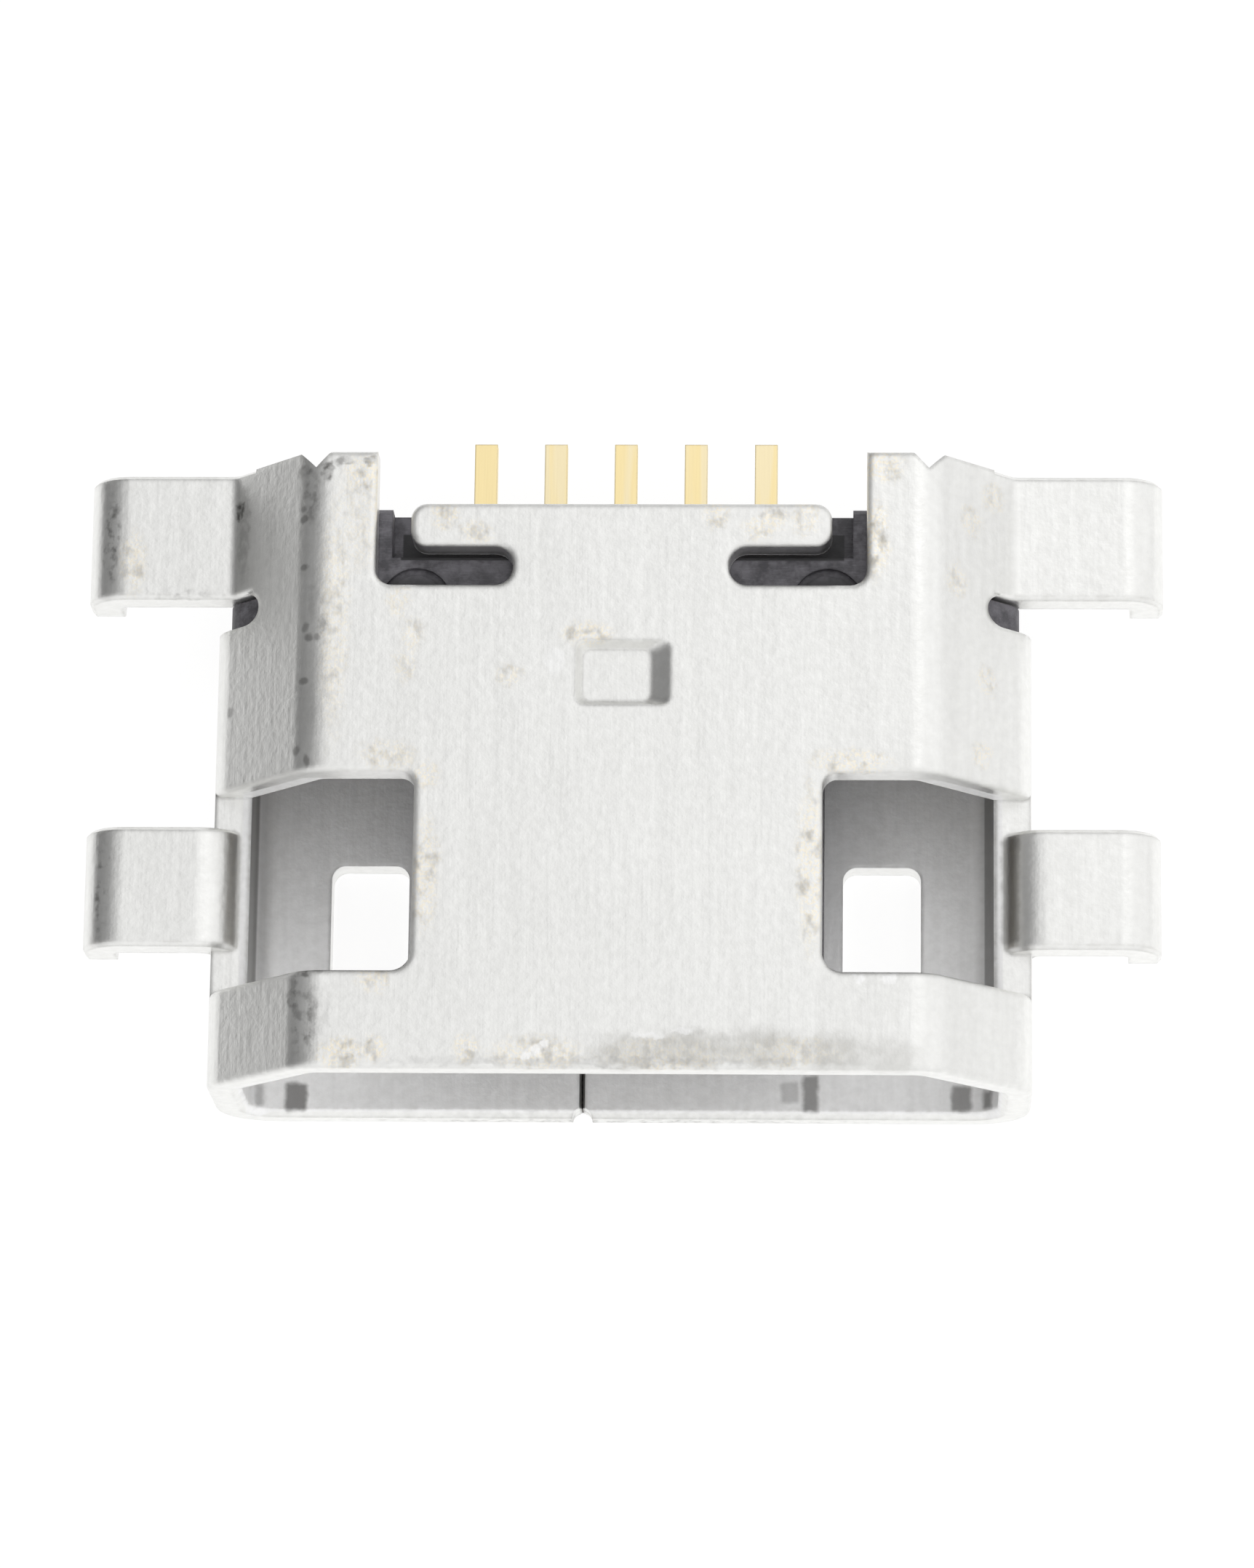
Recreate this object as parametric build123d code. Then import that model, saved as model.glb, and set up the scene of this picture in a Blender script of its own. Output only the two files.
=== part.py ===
from build123d import *
from math import radians, tan
import os

os.makedirs("parts", exist_ok=True)

# All sizes are millimetres. +X is right, +Y runs from the mouth to the back, +Z is up.
# The folded sheet, seen from the mouth: a wide wall below, a narrow wall above, slopes between.
sheet = 0.30
mouth_inner_width = 6.90
mouth_inner_height = 1.85
slope_run = 0.75
slope_angle = 45.0
slope_bend_radius = 0.12
wide_bend_radius = 0.25
lead_in = 0.07
edge_roll = 0.05

# The wide wall runs on behind the side walls as a narrower, rounded end.
wide_wall_end_length = 0.64
wide_wall_end_inset = 0.85
wide_wall_end_corner = 0.25

# The closing seam in the wide wall, with one dovetail and a small notch at the mouth.
seam_gap = 0.012
seam_groove_width = 0.05
seam_groove_depth = 0.04
seam_offset = -0.38
seam_notch_radius = 0.09
dovetail_centre = 3.30
dovetail_reach = 0.70
dovetail_root = 0.60
dovetail_flare = 0.14

# Windows in the narrow wall and slopes. Depths are measured backwards from the mouth.
window_reach = 1.605
window_front = 0.90
window_rear = 2.74
window_floor = 1.45
window_front_corner = 0.19
window_rear_corner = 0.13

# Holes in the wide wall that the plug's latches drop into.
latch_hole_inset = 0.705
latch_hole_width = 0.725
latch_hole_front = 1.10
latch_hole_rear = 2.38
latch_hole_corner = 0.13

# Slots at the rear of the narrow wall leave a T-shaped tab between two arms.
arm_width = 0.465
arm_overhang = 0.495
arm_gap = 0.315
slot_front = 4.50
slot_corner = 0.15
tab_neck_inset = 0.935
tab_neck_length = 0.365
tab_throat_radius = 0.17
tab_head_length = 0.405
tab_head_corner = 0.15

# V notches that end the bend lines at the rear edge, and gaps between side wall and leg.
bend_notch_half_width = 0.145
bend_notch_depth = 0.15
bend_notch_beyond = 0.10
relief_length = 0.30
relief_top = 1.93
relief_corner = 0.145

# Legs: two lanced out of the windows, two folded out of the rear of the side walls.
leg_top = 1.67
leg_end_radius = 0.37
leg_tip_corner = 0.10
leg_edge_break = 0.035
front_leg_centre = 1.853
front_leg_width = 1.12
front_leg_reach = 1.18
front_leg_drop = 0.58
front_leg_root_radius = 0.42
front_leg_root_length = 0.80
rear_leg_width = 1.185
rear_leg_reach = 1.22
rear_leg_drop = 0.70
rear_leg_fold_radius = 0.10
rear_leg_lap = 0.20

# The square dent pressed into the narrow wall, steep on three sides and sloping on the right.
dent_centre = 3.667
dent_offset = -0.03
dent_floor_width = 0.62
dent_floor_length = 0.49
dent_depth = 0.11
dent_steep_wall = 0.06
dent_sloping_wall = 0.19
dent_corner = 0.08

# The moulded insulator: a block that fills the back of the shell, and the tongue in front of it.
insulator_clearance = 0.02
insulator_overhang = 0.04
insulator_edge = 0.05
lug_reach = 0.19
lug_bottom = 0.70
recess_inset = 0.59
recess_length = 0.47
recess_depth = 0.28
ejector_inset = 0.82
ejector_setback = 0.08
ejector_radius = 0.32
ejector_ring_width = 0.07
ejector_mark_depth = 0.05
tongue_width = 3.70
tongue_bottom = 0.65
tongue_top = 1.25
tongue_tip = 0.85
tongue_tip_chamfer = 0.12
tongue_corner = 0.10
tongue_root_length = 0.70
tongue_root_bottom = 0.45

# Five contacts, each a strip that lies in the tongue and ends in a solder tail.
contact_names = ("vbus", "data_minus", "data_plus", "id", "ground")
contact_pitch = 0.65
contact_thickness = 0.15
contact_width = 0.37
contact_proud = 0.03
contact_front_long = 1.00
contact_front_short = 1.30
contact_tip_chamfer = 0.05
contact_step_setback = 0.20
tail_width = 0.21
tail_length = 0.808
tail_flat_gap = 0.06

shell_height = mouth_inner_height + 2 * sheet
half_width = mouth_inner_width / 2 + sheet
half_narrow_width = mouth_inner_width / 2 - slope_run
wide_wall_end_edge = mouth_inner_width / 2 - wide_wall_end_inset
window_inner_edge = mouth_inner_width / 2 - window_reach
latch_hole_outer_edge = mouth_inner_width / 2 - latch_hole_inset
latch_hole_inner_edge = latch_hole_outer_edge - latch_hole_width
arm_inner_edge = half_narrow_width - arm_width
tab_head_half_width = arm_inner_edge - arm_gap
tab_neck_half_width = tab_head_half_width - tab_neck_inset
bend_notch_offset = half_narrow_width + bend_notch_beyond
middle_height = shell_height / 2
clear_above = shell_height + sheet
tolerance = 0.001

tab_head_front = slot_front + tab_neck_length
tab_head_rear = tab_head_front + tab_head_length
shell_depth = tab_head_rear + arm_overhang
rear_leg_front = shell_depth - rear_leg_width
side_wall_depth = rear_leg_front - relief_length
wide_wall_depth = side_wall_depth + wide_wall_end_length
insulator_rear = tab_head_rear + insulator_overhang
insulator_front = dent_centre + dent_floor_length / 2 + dent_steep_wall + insulator_clearance
tail_reach = insulator_rear + tail_length
tail_top = leg_top - sheet + contact_thickness
mouth_y = -tail_reach / 2


def at_depth(depth):
    return mouth_y + depth


# The ring's inner outline, or the parallel outline that lies further out by grow.
def ring_section(grow):
    half_wide = mouth_inner_width / 2 + grow
    half_narrow = half_narrow_width + grow * tan(radians(slope_angle / 2))
    bottom = sheet - grow
    top = sheet + mouth_inner_height + grow
    slope_foot = top - (half_wide - half_narrow) * tan(radians(slope_angle))
    wide_radii = 2 * [wide_bend_radius + grow]
    slope_radii = 4 * [slope_bend_radius + grow]
    outline = FilletPolyline(
        (-half_wide, bottom),
        (half_wide, bottom),
        (half_wide, slope_foot),
        (half_narrow, top),
        (-half_narrow, top),
        (-half_wide, slope_foot),
        radius=wide_radii + slope_radii,
        close=True,
    )
    return make_face(outline)


# A section drawn in X and Z becomes a solid between two depths.
def between_depths(section, front, rear):
    return extrude(Plane.XZ.offset(-at_depth(rear)) * section, rear - front)


# A plan drawn in X and Y becomes a solid between two heights.
def between_heights(plan, bottom, top):
    return extrude(Plane.XY.offset(bottom) * plan, top - bottom)


# A side view drawn in Y and Z becomes a solid between two places across the width.
def between_widths(side_view, left, right):
    return extrude(Plane.YZ.offset(left) * side_view, right - left)


# A rectangle in plan, from its left and right edges and its front and rear depths.
def plan_box(left, right, front, rear):
    centre = ((left + right) / 2, (at_depth(front) + at_depth(rear)) / 2)
    return Pos(*centre) * Rectangle(right - left, rear - front)


# Rounds the corners of a plan that lie at this distance from the middle and this depth.
def round_corners(plan, offset_x, depth, radius):
    chosen = [
        corner
        for corner in plan.vertices()
        if abs(abs(corner.X) - offset_x) < tolerance
        and abs(corner.Y - at_depth(depth)) < tolerance
    ]
    return fillet(chosen, radius)


def on_both_sides(shape):
    return [shape, mirror(shape, about=Plane.YZ)]


# The folded sheet whose upper face runs over these points, with a radius at each bend.
def folded_strip(points, radii):
    upper = [Vector(*point) for point in points]
    down = [(b - a).normalized().rotate(Axis.Z, -90) for a, b in zip(upper, upper[1:])]
    lower = [upper[0] + down[0] * sheet]
    lower_radii = []
    for corner, before, after, radius in zip(upper[1:-1], down, down[1:], radii):
        lower.append(corner + (before + after) * (sheet / (1 + before.dot(after))))
        turns_down = before.cross(after).Z < 0
        lower_radii.append(radius - sheet if turns_down else radius + sheet)
    lower.append(upper[-1] + down[-1] * sheet)
    all_radii = [0, *radii, 0, 0, *reversed(lower_radii), 0]
    return make_face(FilletPolyline(*upper, *reversed(lower), radius=all_radii, close=True))


def folded_blank():
    ring = ring_section(sheet) - ring_section(0)
    blank = between_depths(ring, 0, shell_depth)
    mouth_face = blank.faces().sort_by(Axis.Y)[0]
    return chamfer(mouth_face.inner_wires().edges(), lead_in)


def window():
    plan = plan_box(window_inner_edge, half_width + sheet, window_front, window_rear)
    plan = round_corners(plan, window_inner_edge, window_front, window_front_corner)
    plan = round_corners(plan, window_inner_edge, window_rear, window_rear_corner)
    return between_heights(plan, window_floor, clear_above)


def latch_hole():
    plan = plan_box(
        latch_hole_inner_edge, latch_hole_outer_edge, latch_hole_front, latch_hole_rear
    )
    plan = fillet(plan.vertices(), latch_hole_corner)
    return between_heights(plan, -sheet, 2 * sheet)


# The rear cut-out of the narrow wall, which goes round the T-shaped tab.
def rear_cut_out():
    opening = plan_box(-arm_inner_edge, arm_inner_edge, slot_front, shell_depth + sheet)
    neck = plan_box(-tab_neck_half_width, tab_neck_half_width, slot_front, tab_head_front)
    head = plan_box(-tab_head_half_width, tab_head_half_width, tab_head_front, tab_head_rear)
    plan = opening - (neck + head)
    plan = round_corners(plan, arm_inner_edge, slot_front, slot_corner)
    plan = round_corners(plan, tab_neck_half_width, slot_front, tab_throat_radius)
    plan = round_corners(plan, tab_neck_half_width, tab_head_front, tab_throat_radius)
    plan = round_corners(plan, tab_head_half_width, tab_head_front, tab_head_corner)
    plan = round_corners(plan, tab_head_half_width, tab_head_rear, tab_head_corner)
    return between_heights(plan, middle_height, clear_above)


# A V that is open at the rear edge, drawn to twice its size so that it cuts clear of the edge.
def bend_notch():
    notch = Polyline(
        (bend_notch_offset, at_depth(shell_depth - bend_notch_depth)),
        (bend_notch_offset - 2 * bend_notch_half_width, at_depth(shell_depth + bend_notch_depth)),
        (bend_notch_offset + 2 * bend_notch_half_width, at_depth(shell_depth + bend_notch_depth)),
        close=True,
    )
    return between_heights(make_face(notch), middle_height, clear_above)


# Where the outer faces of the slope and of a rear leg meet, and how far up the slope it begins.
def rear_leg_fold():
    crease = half_narrow_width + sheet * tan(radians(slope_angle / 2))
    foot = crease + (shell_height - leg_top) / tan(radians(slope_angle))
    lap_rise = rear_leg_lap * tan(radians(slope_angle))
    return (foot - rear_leg_lap, leg_top + lap_rise), (foot, leg_top)


# The side wall and the foot of the slope, which become the rear leg.
def rear_side_cut():
    start, foot = rear_leg_fold()
    across = Vector(0, sheet).rotate(Axis.Z, -slope_angle)
    outside = Vector(*start) + across
    inside = Vector(*start) - across
    outline = Polyline(
        (outside.X, outside.Y),
        (inside.X, inside.Y),
        (inside.X, -sheet),
        (half_width + sheet, -sheet),
        (half_width + sheet, outside.Y),
        close=True,
    )
    return between_depths(make_face(outline), rear_leg_front, shell_depth + sheet)


def wide_wall_rear_cut():
    behind = plan_box(-half_width, half_width, side_wall_depth, shell_depth + sheet)
    kept = plan_box(-wide_wall_end_edge, wide_wall_end_edge, side_wall_depth, wide_wall_depth)
    plan = behind - kept
    plan = round_corners(plan, wide_wall_end_edge, wide_wall_depth, wide_wall_end_corner)
    return between_heights(plan, -sheet, middle_height)


# The side view of the gap between side wall and rear leg, with a rounded end in the slope.
def relief_outline(bottom, inset):
    top = relief_top - inset
    centre = (at_depth(side_wall_depth + relief_length / 2), (top + bottom) / 2)
    outline = Pos(*centre) * Rectangle(relief_length - 2 * inset, top - bottom)
    return fillet(outline.vertices().group_by(Axis.Y)[-1], relief_corner - inset)


def relief_gap():
    return between_widths(relief_outline(-sheet, 0), wide_wall_end_edge, half_width + sheet)


def seam():
    root_front = at_depth(dovetail_centre - dovetail_root / 2)
    root_rear = at_depth(dovetail_centre + dovetail_root / 2)
    wing = seam_offset + dovetail_reach
    route = Polyline(
        (seam_offset, at_depth(-sheet)),
        (seam_offset, root_front),
        (wing, root_front - dovetail_flare),
        (wing, root_rear + dovetail_flare),
        (seam_offset, root_rear),
        (seam_offset, at_depth(wide_wall_depth + sheet)),
    )
    gap = trace(route, line_width=seam_gap)
    gap += Pos(seam_offset, mouth_y) * Circle(seam_notch_radius)
    groove = trace(route, line_width=seam_groove_width)
    return [
        between_heights(gap, -sheet, 2 * sheet),
        between_heights(groove, sheet - seam_groove_depth, 2 * sheet),
        between_heights(groove, -sheet, seam_groove_depth),
    ]


# Rounds a leg's tip in side view, and breaks the long edges of its upper face.
def finished_leg(leg):
    leg = fillet(leg.edges().filter_by(Axis.X).group_by(Axis.Z)[0], leg_tip_corner)
    upper = [
        edge
        for edge in leg.edges().filter_by(Axis.X)
        if abs(edge.center().Z - leg_top) < tolerance
    ]
    return chamfer(upper, leg_edge_break)


def rear_leg():
    start, foot = rear_leg_fold()
    end = half_width + rear_leg_reach
    strip = folded_strip(
        [start, foot, (end, leg_top), (end, leg_top - rear_leg_drop)],
        [rear_leg_fold_radius, leg_end_radius],
    )
    return finished_leg(between_depths(strip, rear_leg_front, shell_depth))


def front_leg():
    wall = mouth_inner_width / 2
    end = half_width + front_leg_reach
    strip = folded_strip(
        [
            (wall, leg_top - front_leg_root_length),
            (wall, leg_top),
            (end, leg_top),
            (end, leg_top - front_leg_drop),
        ],
        [front_leg_root_radius, leg_end_radius],
    )
    front = front_leg_centre - front_leg_width / 2
    return finished_leg(between_depths(strip, front, front + front_leg_width))


# The dent's plan: its floor, or its outline further up, with each wall's run at that height.
def dent_plan(steep, sloping):
    left = dent_offset - dent_floor_width / 2 - steep
    right = dent_offset + dent_floor_width / 2 + sloping
    reach = dent_floor_length / 2 + steep
    plan = plan_box(left, right, dent_centre - reach, dent_centre + reach)
    return fillet(plan.vertices(), dent_corner)


def dent():
    floor = Plane.XY.offset(shell_height - dent_depth) * dent_plan(0, 0)
    rim = Plane.XY.offset(shell_height) * dent_plan(dent_steep_wall, dent_sloping_wall)
    return loft([floor, rim])


# The same sheet, pushed down into the mouth under the dent.
def dent_underside():
    height = shell_height - sheet
    plan = dent_plan(dent_steep_wall, dent_steep_wall)
    return between_heights(plan, height - dent_depth, height)


# The punched edges of the narrow wall are drawn down a little, over the bends as well.
def rolled_edges(body):
    top = body.faces().sort_by(Axis.Z)[-1]
    bend_line = half_narrow_width - slope_bend_radius * tan(radians(slope_angle / 2))
    punched = [
        edge
        for edge in top.edges()
        if abs(abs(edge.center().X) - bend_line) > tolerance
    ]
    return fillet(punched, edge_roll)


def shell():
    cuts = on_both_sides(window())
    cuts += on_both_sides(latch_hole())
    cuts += on_both_sides(bend_notch())
    cuts += on_both_sides(relief_gap())
    cuts += on_both_sides(rear_side_cut())
    cuts += [rear_cut_out(), wide_wall_rear_cut(), *seam()]
    additions = on_both_sides(front_leg())
    additions += on_both_sides(rear_leg())
    additions += [dent_underside()]
    return rolled_edges(folded_blank() - cuts) + additions - dent()


def contact(index):
    centre = (index - (len(contact_names) - 1) / 2) * contact_pitch
    outermost = index in (0, len(contact_names) - 1)
    front = contact_front_long if outermost else contact_front_short
    blade_top = tongue_top + contact_proud
    step_front = insulator_front + contact_step_setback
    step_rear = insulator_rear + tail_flat_gap
    upper = [
        (at_depth(front + contact_tip_chamfer), blade_top),
        (at_depth(step_front), blade_top),
        (at_depth(step_rear), tail_top),
        (at_depth(tail_reach), tail_top),
    ]
    lower = [
        (at_depth(tail_reach), tail_top - contact_thickness),
        (at_depth(step_rear), tail_top - contact_thickness),
        (at_depth(step_front), blade_top - contact_thickness),
        (at_depth(front), blade_top - contact_thickness),
        (at_depth(front), blade_top - contact_tip_chamfer),
    ]
    side_view = make_face(Polyline(*upper, *lower, close=True))
    strip = between_widths(side_view, centre - contact_width / 2, centre + contact_width / 2)
    blade = plan_box(-contact_width / 2, contact_width / 2, front, step_front)
    tail = plan_box(-tail_width / 2, tail_width / 2, step_front, tail_reach)
    plan = Pos(centre, 0) * (blade + tail)
    return strip & between_heights(plan, 0, shell_height)


def tongue():
    half = tongue_width / 2
    front = at_depth(tongue_tip)
    root = at_depth(insulator_front - tongue_root_length)
    rear = at_depth(insulator_front)
    side_view = make_face(
        Polyline(
            (front, tongue_bottom + tongue_tip_chamfer),
            (front + tongue_tip_chamfer, tongue_bottom),
            (root, tongue_bottom),
            (root + tongue_bottom - tongue_root_bottom, tongue_root_bottom),
            (rear, tongue_root_bottom),
            (rear, tongue_top),
            (front + tongue_tip_chamfer, tongue_top),
            (front, tongue_top - tongue_tip_chamfer),
            close=True,
        )
    )
    blade = between_widths(side_view, -half, half)
    return chamfer(blade.edges().filter_by(Axis.Z).group_by(Axis.Y)[0], tongue_corner)


# A lug that fills the gap between side wall and rear leg, and holds the insulator in place.
def lug():
    outline = relief_outline(lug_bottom, insulator_clearance)
    across = between_widths(outline, wide_wall_end_edge, half_width)
    return across & between_depths(ring_section(lug_reach), side_wall_depth, rear_leg_front)


def ejector_mark():
    ring = Circle(ejector_radius) - Circle(ejector_radius - ejector_ring_width)
    top = sheet + mouth_inner_height - insulator_clearance
    centre = (half_narrow_width - ejector_inset, at_depth(slot_front - ejector_setback))
    plan = Pos(*centre) * ring
    return between_heights(plan, top - ejector_mark_depth, top + sheet)


def insulator(contacts):
    block = between_depths(ring_section(-insulator_clearance), insulator_front, insulator_rear)
    rear_face = block.faces().sort_by(Axis.Y)[-1]
    block = chamfer(rear_face.edges(), insulator_edge)
    top = sheet + mouth_inner_height - insulator_clearance
    recess_front = insulator_rear - recess_length
    edge = half_narrow_width - recess_inset
    plan = plan_box(-edge, edge, recess_front, insulator_rear + sheet)
    recess = between_heights(plan, top - recess_depth, top + sheet)
    body = block + tongue() + on_both_sides(lug())
    return body - recess - on_both_sides(ejector_mark()) - contacts


contacts = [contact(index) for index in range(len(contact_names))]
nodes = {"shell": shell(), "insulator": insulator(contacts)}
for index, name in enumerate(contact_names):
    nodes[f"contact_{index + 1}_{name}"] = contacts[index]
for name, solid in nodes.items():
    export_step(solid, f"parts/{name}.step")
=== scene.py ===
import bmesh
import bpy
from functools import partial
from math import cos, pi, radians, sin
from mathutils import Matrix, Vector


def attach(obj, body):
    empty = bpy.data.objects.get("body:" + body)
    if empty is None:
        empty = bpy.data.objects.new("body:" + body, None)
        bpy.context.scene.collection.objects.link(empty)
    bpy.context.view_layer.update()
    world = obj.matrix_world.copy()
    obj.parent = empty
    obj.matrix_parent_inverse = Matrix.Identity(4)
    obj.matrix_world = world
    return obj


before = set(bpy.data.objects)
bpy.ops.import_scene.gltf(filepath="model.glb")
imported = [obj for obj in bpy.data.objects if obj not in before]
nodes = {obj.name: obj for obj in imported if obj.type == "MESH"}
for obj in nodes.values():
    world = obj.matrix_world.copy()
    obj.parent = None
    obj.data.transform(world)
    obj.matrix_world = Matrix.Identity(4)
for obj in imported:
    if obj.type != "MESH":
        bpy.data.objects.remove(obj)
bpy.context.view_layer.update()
mm = 0.001
print("frame loaded:", len(nodes), "nodes")


# Shared helpers

# the places of a Mix node's sockets for colours, and for plain values
underColour = 6
overColour = 7
mixedColour = 2
underValue = 2
overValue = 3

# an oval mark: half its thickness in mm, and the share of its reach that stays at full strength
markThickness = 0.04
markCore = 0.4


def hexColour(code):
    # sRGB hex to the linear values that Blender works in
    shares = [int(code[i:i + 2], 16) / 255 for i in (1, 3, 5)]
    linear = [s / 12.92 if s <= 0.04045 else ((s + 0.055) / 1.055) ** 2.4 for s in shares]
    return (*linear, 1.0)


def addNode(tree, kind, inputs=None, out=0, **settings):
    # one node with its settings; an input that is a socket gets a link, any other is set
    made = tree.nodes.new(kind)
    for name, value in settings.items():
        setattr(made, name, value)
    for socket, value in (inputs or {}).items():
        if isinstance(value, bpy.types.NodeSocket):
            tree.links.new(value, made.inputs[socket])
        else:
            made.inputs[socket].default_value = value
    return made.outputs[out] if len(made.outputs) else made


def newMaterial(name):
    material = bpy.data.materials.new(name)
    material.use_nodes = True
    material.node_tree.nodes.clear()
    return material, material.node_tree


def placeInMillimetres(tree):
    place = addNode(tree, "ShaderNodeTexCoord", out="Object")
    return addNode(tree, "ShaderNodeVectorMath", {0: place, "Scale": 1 / mm}, operation="SCALE")


def grainPattern(tree, place, size, detail=2.0, roughness=0.5):
    # a pattern whose grains have this size in millimetres along X, Y and Z
    scale = tuple(1 / s for s in size)
    at = addNode(tree, "ShaderNodeVectorMath", {0: place, 1: scale}, operation="MULTIPLY")
    return addNode(tree, "ShaderNodeTexNoise",
                   {"Vector": at, "Scale": 1.0, "Detail": detail, "Roughness": roughness})


def nearBox(tree, place, middle, half, fade, strength=1.0):
    # this strength inside a box in millimetres, fading to 0 over this distance outside it
    away = addNode(tree, "ShaderNodeVectorMath", {0: place, 1: middle}, operation="SUBTRACT")
    size = addNode(tree, "ShaderNodeVectorMath", {0: away}, operation="ABSOLUTE")
    over = addNode(tree, "ShaderNodeVectorMath", {0: size, 1: half}, operation="SUBTRACT")
    outside = addNode(tree, "ShaderNodeVectorMath", {0: over, 1: (0, 0, 0)}, operation="MAXIMUM")
    distance = addNode(tree, "ShaderNodeVectorMath", {0: outside}, out="Value", operation="LENGTH")
    return addNode(tree, "ShaderNodeMapRange",
                   {"Value": distance, "From Max": fade, "To Min": strength, "To Max": 0.0},
                   interpolation_type="SMOOTHSTEP")


def strongest(tree, place, marks, fade):
    # the strongest of these soft oval marks at each point
    most = 0.0
    for x, y, z, halfWidth, halfLength, strength in marks:
        perReach = [1 / (half + fade) for half in (halfWidth, halfLength, markThickness)]
        shift = [-at * share for at, share in zip((x, y, z), perReach)]
        away = addNode(tree, "ShaderNodeVectorMath", {0: place, 1: perReach, 2: shift},
                       operation="MULTIPLY_ADD")
        distance = addNode(tree, "ShaderNodeVectorMath", {0: away}, out="Value",
                           operation="LENGTH")
        mark = addNode(tree, "ShaderNodeMapRange",
                       {"Value": distance, "From Min": markCore, "To Min": strength,
                        "To Max": 0.0}, interpolation_type="SMOOTHSTEP")
        most = addNode(tree, "ShaderNodeMath", {0: mark, 1: most}, operation="MAXIMUM")
    return most


def raggedPlace(tree, place, size, reach):
    # places pushed about by noise, which makes the outline of a mark uneven
    at = addNode(tree, "ShaderNodeVectorMath", {0: place, "Scale": 1 / size}, operation="SCALE")
    push = addNode(tree, "ShaderNodeTexNoise", {"Vector": at, "Scale": 1.0, "Detail": 3.0},
                   out="Color")
    middle = addNode(tree, "ShaderNodeVectorMath", {0: push, 1: (0.5, 0.5, 0.5)},
                     operation="SUBTRACT")
    return addNode(tree, "ShaderNodeVectorMath", {0: middle, 1: 3 * (reach,), 2: place},
                   operation="MULTIPLY_ADD")


def roundedEdges(tree, radius):
    # the normal with its edges rounded over, and a value that is above 0 near those edges
    rounded = addNode(tree, "ShaderNodeBevel", {"Radius": radius * mm}, samples=2)
    flat = addNode(tree, "ShaderNodeNewGeometry", out="True Normal")
    same = addNode(tree, "ShaderNodeVectorMath", {0: rounded, 1: flat}, out="Value",
                   operation="DOT_PRODUCT")
    return rounded, addNode(tree, "ShaderNodeMath", {0: 1.0, 1: same}, operation="SUBTRACT")


# Camera at the photograph's angle

camera = {
    "azimuth": 8.67044,
    "elevation": 75.26591,
    "roll": -8.22455,
    "distance": 60.0 * mm,
    "aim": (0.03323 * mm, -0.11336 * mm, 1.2 * mm),
    "lens": 149.546,
    "sensor": 36,
    "nearest": 1 * mm,
    "farthest": 10,
}


def addCamera():
    azimuth, elevation, roll = (radians(camera[k]) for k in ("azimuth", "elevation", "roll"))
    back = Vector((sin(azimuth) * cos(elevation), -cos(azimuth) * cos(elevation), sin(elevation)))
    level = Vector((cos(azimuth), sin(azimuth), 0))
    upright = back.cross(level)
    right = level * cos(roll) + upright * sin(roll)
    up = upright * cos(roll) - level * sin(roll)
    data = bpy.data.cameras.new("photoCamera")
    data.sensor_fit = "VERTICAL"
    data.sensor_height = camera["sensor"]
    data.lens = camera["lens"]
    data.clip_start = camera["nearest"]
    data.clip_end = camera["farthest"]
    made = bpy.data.objects.new("photoCamera", data)
    turn = Matrix((right, up, back)).transposed().to_4x4()
    eye = Vector(camera["aim"]) + back * camera["distance"]
    made.matrix_world = Matrix.Translation(eye) @ turn
    bpy.context.scene.collection.objects.link(made)
    bpy.context.scene.camera = made


addCamera()
print("camera placed")


# Light table and soft studio light

studio = {
    "table": "#8E8E8D",
    "tableSize": 900 * mm,
    "tableHeight": -0.02 * mm,
    "tableCloud": (60, 60, 60),          # mm, as are the next three
    "lampMiddle": (4.5, 0.0, 0.0),
    "lampRadius": 11.0,
    "lampReach": 26.0,                   # the glow falls to farGlow on the way out to here
    "tableGlow": 0.85,
    "farGlow": 0.30,
    "tableRoughness": {"To Min": 0.55, "To Max": 0.65},
    "tableShine": 0.1,
    "topLight": 1.02,
    "openWay": (-0.93, 0.28, 0.24),      # towards the open side of the tent, on the left
    "openShare": {"From Min": 0.30, "From Max": 0.85},
    "leftHorizon": 0.03,                 # the open side grows lighter from its horizon
    "leftShade": 0.27,                   # to this
    "leftRise": 0.4,                     # at this height
    "rearShade": {"From Min": 0.5, "From Max": 0.95, "To Min": 1.0, "To Max": 0.45},
    "softboxPlace": (40 * mm, 90 * mm, 130 * mm),
    "softboxSize": 80 * mm,
    "softboxPower": 0.010,
    "glossyBounces": 8,                  # for light that goes round inside the shell
}


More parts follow.
